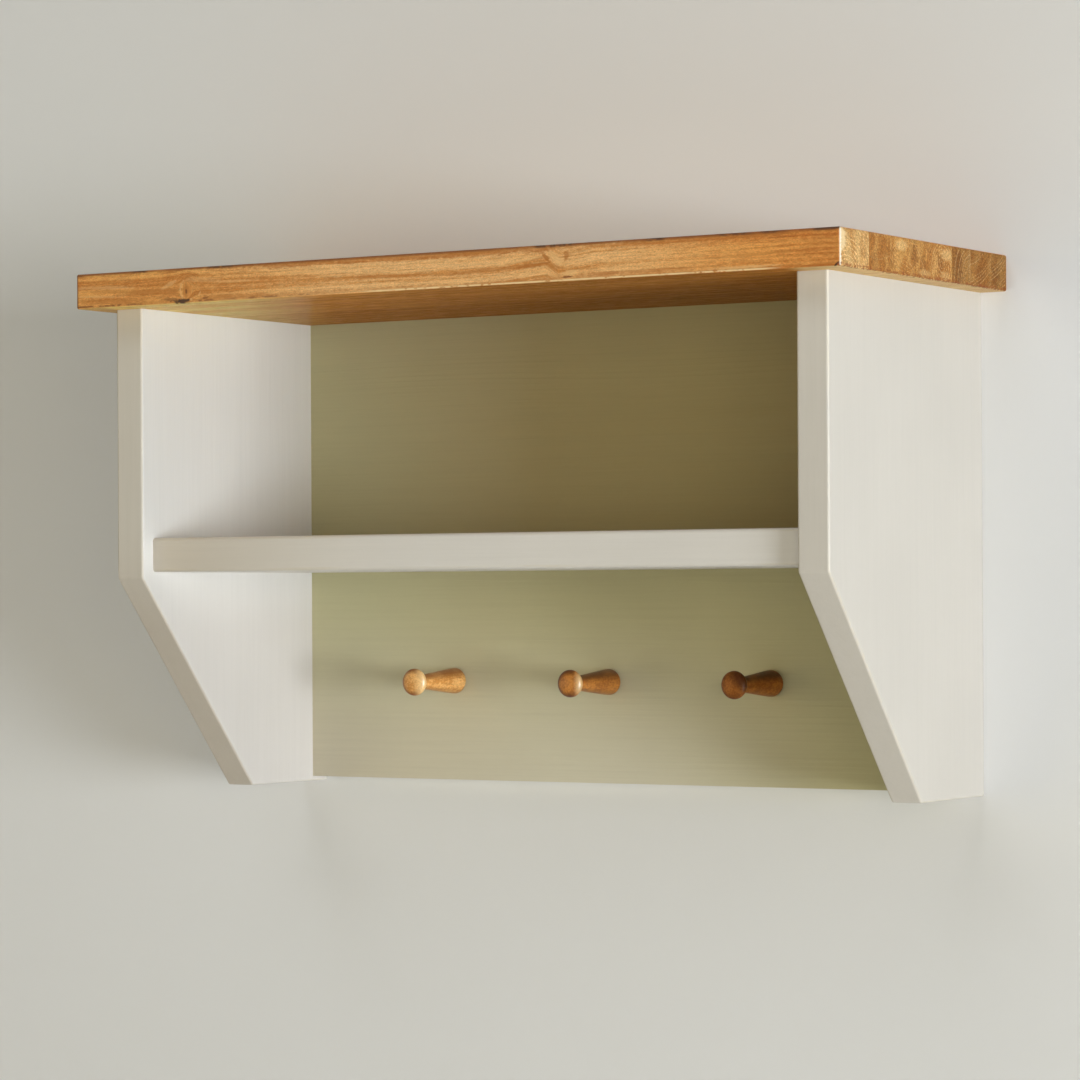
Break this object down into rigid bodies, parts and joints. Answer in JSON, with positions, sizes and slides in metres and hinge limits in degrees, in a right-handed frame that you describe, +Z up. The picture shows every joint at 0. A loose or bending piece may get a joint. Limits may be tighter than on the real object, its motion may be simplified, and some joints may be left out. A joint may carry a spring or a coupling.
{
  "type": "peg rail with shelf",
  "caption": "Wall-hung shelf with an overhanging stave-glued pine top, shaped painted sides, a back panel and shelf, and a row of turned pegs below for coats, cups or towels.",
  "frame": {"origin": "on the wall plane, midway between the entry holes of the two keyhole hanger plates", "axes": "+X to the right along the wall as seen from the room, +Y into the wall, +Z up"},
  "size_m": [0.677, 0.273, 0.4095],
  "materials": {
    "waxed_pine": "waxed honey-coloured pine with visible grain and knots",
    "painted_pine": "pale stone-grey eggshell paint over pine, with faint grain",
    "stained_peg": "satin orange-brown stained hardwood",
    "beech_dowel": "bare beech",
    "zinc_steel": "bright zinc-plated steel"
  },
  "bodies": {
    "root": {"top_board_stave_1": "waxed_pine", "top_board_stave_2": "waxed_pine", "top_board_stave_3": "waxed_pine", "top_board_stave_4": "waxed_pine", "top_board_stave_5": "waxed_pine", "top_board_stave_6": "waxed_pine", "top_board_stave_7": "waxed_pine", "top_board_stave_8": "waxed_pine", "left_side_panel": "painted_pine", "right_side_panel": "painted_pine", "back_panel": "painted_pine", "shelf": "painted_pine", "peg_left": "stained_peg", "peg_centre": "stained_peg", "peg_right": "stained_peg", "side_to_top_dowels_left": "beech_dowel", "side_to_top_dowels_right": "beech_dowel", "shelf_dowels_left": "beech_dowel", "shelf_dowels_right": "beech_dowel", "back_panel_dowels_left": "beech_dowel", "back_panel_dowels_right": "beech_dowel", "back_panel_to_top_dowels": "beech_dowel", "shelf_screws": "zinc_steel", "hanger_plate_left": "zinc_steel", "hanger_plate_right": "zinc_steel", "hanger_plate_screws_left": "zinc_steel", "hanger_plate_screws_right": "zinc_steel"}
  },
  "joints": []
}
